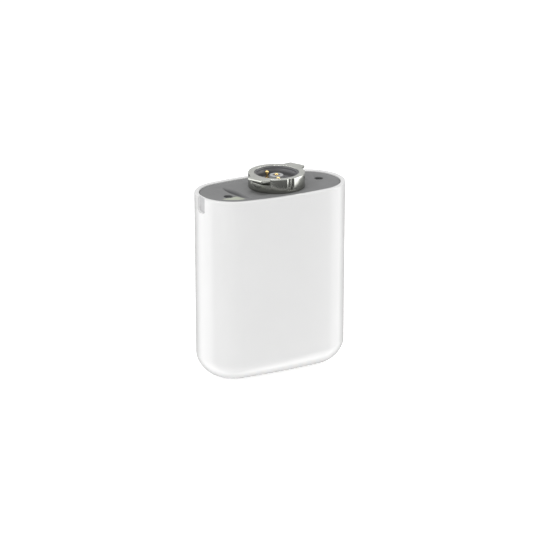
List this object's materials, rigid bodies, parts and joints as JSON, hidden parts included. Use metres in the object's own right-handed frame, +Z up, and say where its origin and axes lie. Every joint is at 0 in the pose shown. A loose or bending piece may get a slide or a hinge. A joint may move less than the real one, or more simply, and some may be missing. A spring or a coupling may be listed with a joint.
{
  "type": "battery pack",
  "caption": "Hand-sized rechargeable battery pack: smooth white housing, recessed grey top plate, and a metal twist-lock head that holds spring-loaded gold contacts.",
  "frame": {"origin": "middle of the flat base, under the centre of the housing plan", "axes": "+Z up towards the contact head, +X along the housing length away from the key groove, -Y towards the front"},
  "size_m": [0.08, 0.0414, 0.103],
  "materials": {
    "housing_white": "gloss moulded plastic",
    "plate_grey": "fine spark-eroded matte plastic",
    "nickel": "satin nickel-plated metal, turned and tumbled",
    "steel": "zinc-plated steel",
    "gold_contact": "gold-plated brass, polished",
    "insulator_dark": "glass-filled plastic, satin",
    "collar_grey": "light grey satin plastic",
    "seal_rubber": "soft black rubber",
    "label_pale": "blank satin film",
    "cell_can": "teal shrink sleeve over the metal can",
    "holder_black": "black moulded plastic",
    "board_green": "green solder mask",
    "chip_black": "black epoxy",
    "ceramic_body": "glazed ceramic",
    "foam_grey": "closed-cell foam",
    "lead_red": "soft insulated wire",
    "lead_black": "soft insulated wire",
    "lead_yellow": "soft insulated wire"
  },
  "bodies": {
    "pack": {"housing": "housing_white", "top_plate": "plate_grey", "plate_seal": "seal_rubber", "blank_label": "label_pale", "plate_screw_left": "steel", "plate_screw_right": "steel", "bayonet_ring": "nickel", "ring_seal": "seal_rubber", "ring_nut": "steel", "insulator_cup": "insulator_dark", "centre_collar": "collar_grey", "contact_board": "board_green", "contact_barrel_centre": "gold_contact", "contact_spring_centre": "steel", "contact_barrel_back": "gold_contact", "contact_spring_back": "steel", "contact_barrel_front": "gold_contact", "contact_spring_front": "steel", "cell_1": "cell_can", "cell_2": "cell_can", "cell_3": "cell_can", "cell_4": "cell_can", "cell_5": "cell_can", "lower_cell_holder": "holder_black", "upper_cell_holder": "holder_black", "foam_pad": "foam_grey", "link_strip_low_1": "nickel", "link_strip_low_2": "nickel", "end_tab_low": "nickel", "end_tab_high": "nickel", "link_strip_high_1": "nickel", "link_strip_high_2": "nickel", "control_board": "board_green", "board_screw_1": "steel", "board_screw_2": "steel", "control_chip": "chip_black", "power_transistor_1": "chip_black", "power_transistor_2": "chip_black", "fuse": "ceramic_body", "current_shunt": "steel", "capacitor": "steel", "thermistor": "chip_black", "return_lead": "lead_black", "head_lead_power": "lead_red", "head_lead_return": "lead_black", "head_lead_signal": "lead_yellow"},
    "contact_centre": {"contact_plunger_centre": "gold_contact"},
    "contact_back": {"contact_plunger_back": "gold_contact"},
    "contact_front": {"contact_plunger_front": "gold_contact"}
  },
  "joints": [
    {"name": "contact_centre_press", "type": "slide", "parent": "pack", "child": "contact_centre", "axis": [0, 0, -1], "range_m": [0, 0.0012], "stiffness_N_per_m": 600, "springref_m": -0.0008, "deforming": ["contact_spring_centre"]},
    {"name": "contact_back_press", "type": "slide", "parent": "pack", "child": "contact_back", "axis": [0, 0, -1], "range_m": [0, 0.0012], "stiffness_N_per_m": 600, "springref_m": -0.0008, "deforming": ["contact_spring_back"]},
    {"name": "contact_front_press", "type": "slide", "parent": "pack", "child": "contact_front", "axis": [0, 0, -1], "range_m": [0, 0.0012], "stiffness_N_per_m": 600, "springref_m": -0.0008, "deforming": ["contact_spring_front"]}
  ]
}
